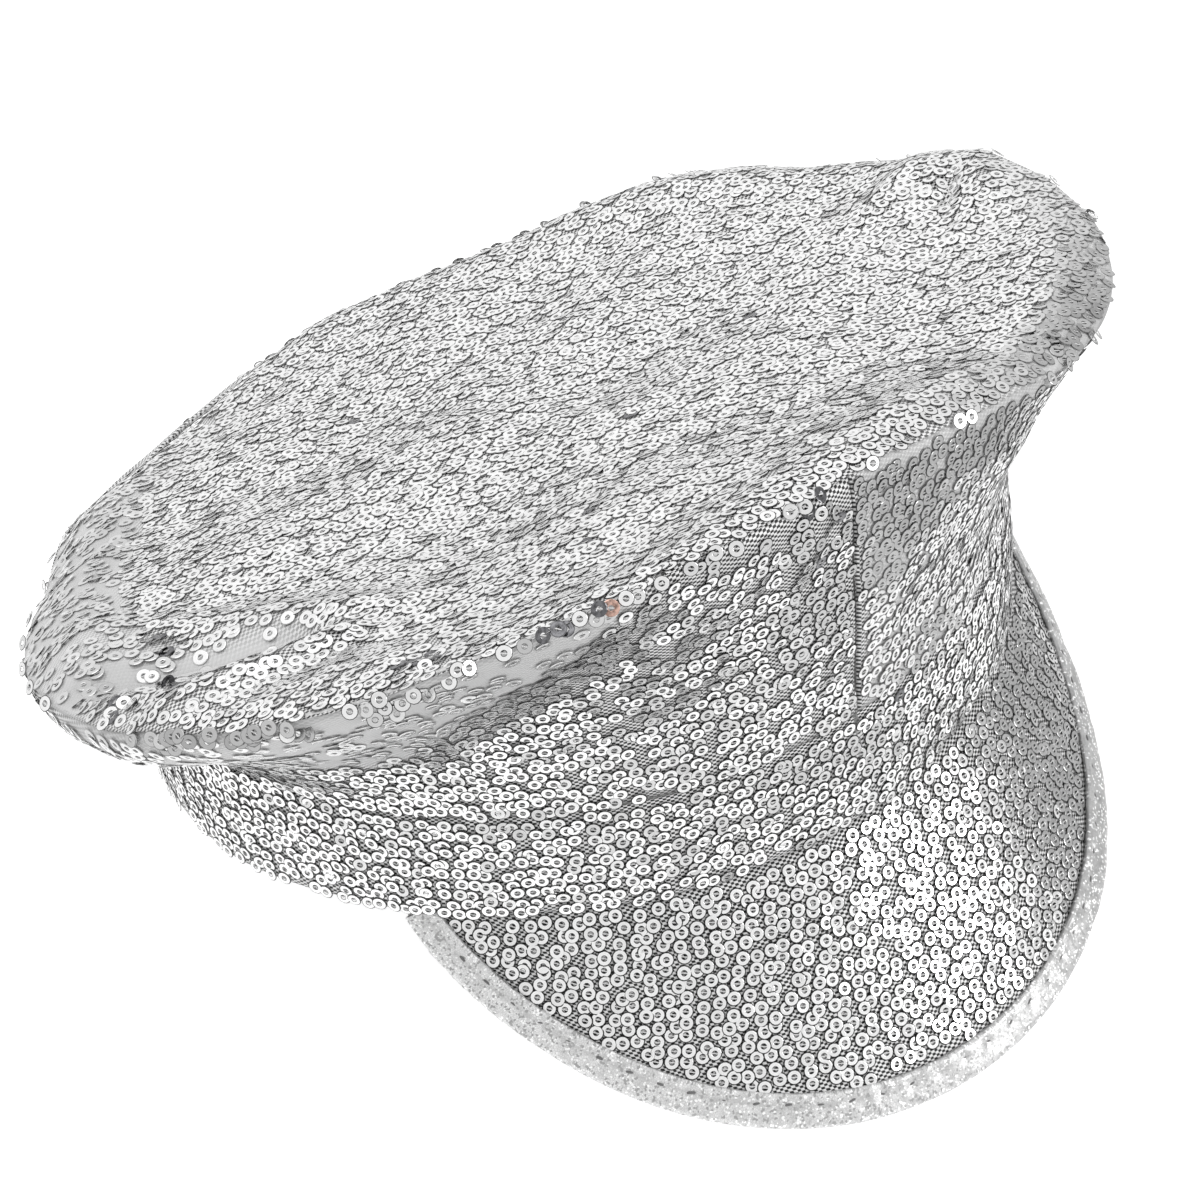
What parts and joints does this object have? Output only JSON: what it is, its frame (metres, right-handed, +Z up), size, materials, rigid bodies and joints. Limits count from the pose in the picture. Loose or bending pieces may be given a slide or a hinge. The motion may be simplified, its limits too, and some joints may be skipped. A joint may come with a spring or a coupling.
{
  "type": "peaked party cap",
  "caption": "Soft peaked captain-style party cap covered in silver sequins, with a flared crown, a plain band and a drooping bound visor.",
  "frame": {"origin": "middle of the head opening, in the plane of the band's lower edge", "axes": "+Z up out of the crown, -Y towards the visor and the wearer's front, +X towards the wearer's left"},
  "size_m": [0.2432, 0.2287, 0.1392],
  "materials": {
    "sequin_fabric": "silver sequins sewn on grey knitted mesh",
    "binding": "crackled silver foil bias tape",
    "lining": "light grey satin lining",
    "sweatband": "ribbed grey tape",
    "stiffener": "off-white buckram",
    "visor_board": "plain plastic sheet",
    "thread": "grey thread"
  },
  "bodies": {
    "root": {"crown_top_panel": "sequin_fabric", "crown_front_left_panel": "sequin_fabric", "crown_front_right_panel": "sequin_fabric", "crown_rear_left_panel": "sequin_fabric", "crown_rear_right_panel": "sequin_fabric", "crown_front_stay": "stiffener", "crown_side_lining": "lining", "crown_top_lining": "lining", "band_cover": "sequin_fabric", "band_stiffener": "stiffener", "sweatband": "sweatband", "sweatband_stitches": "thread", "visor_seam_flange": "stiffener", "visor_top_cover": "sequin_fabric", "visor_board": "visor_board", "visor_lining": "lining", "visor_binding": "binding", "visor_binding_stitches": "thread"}
  },
  "joints": []
}
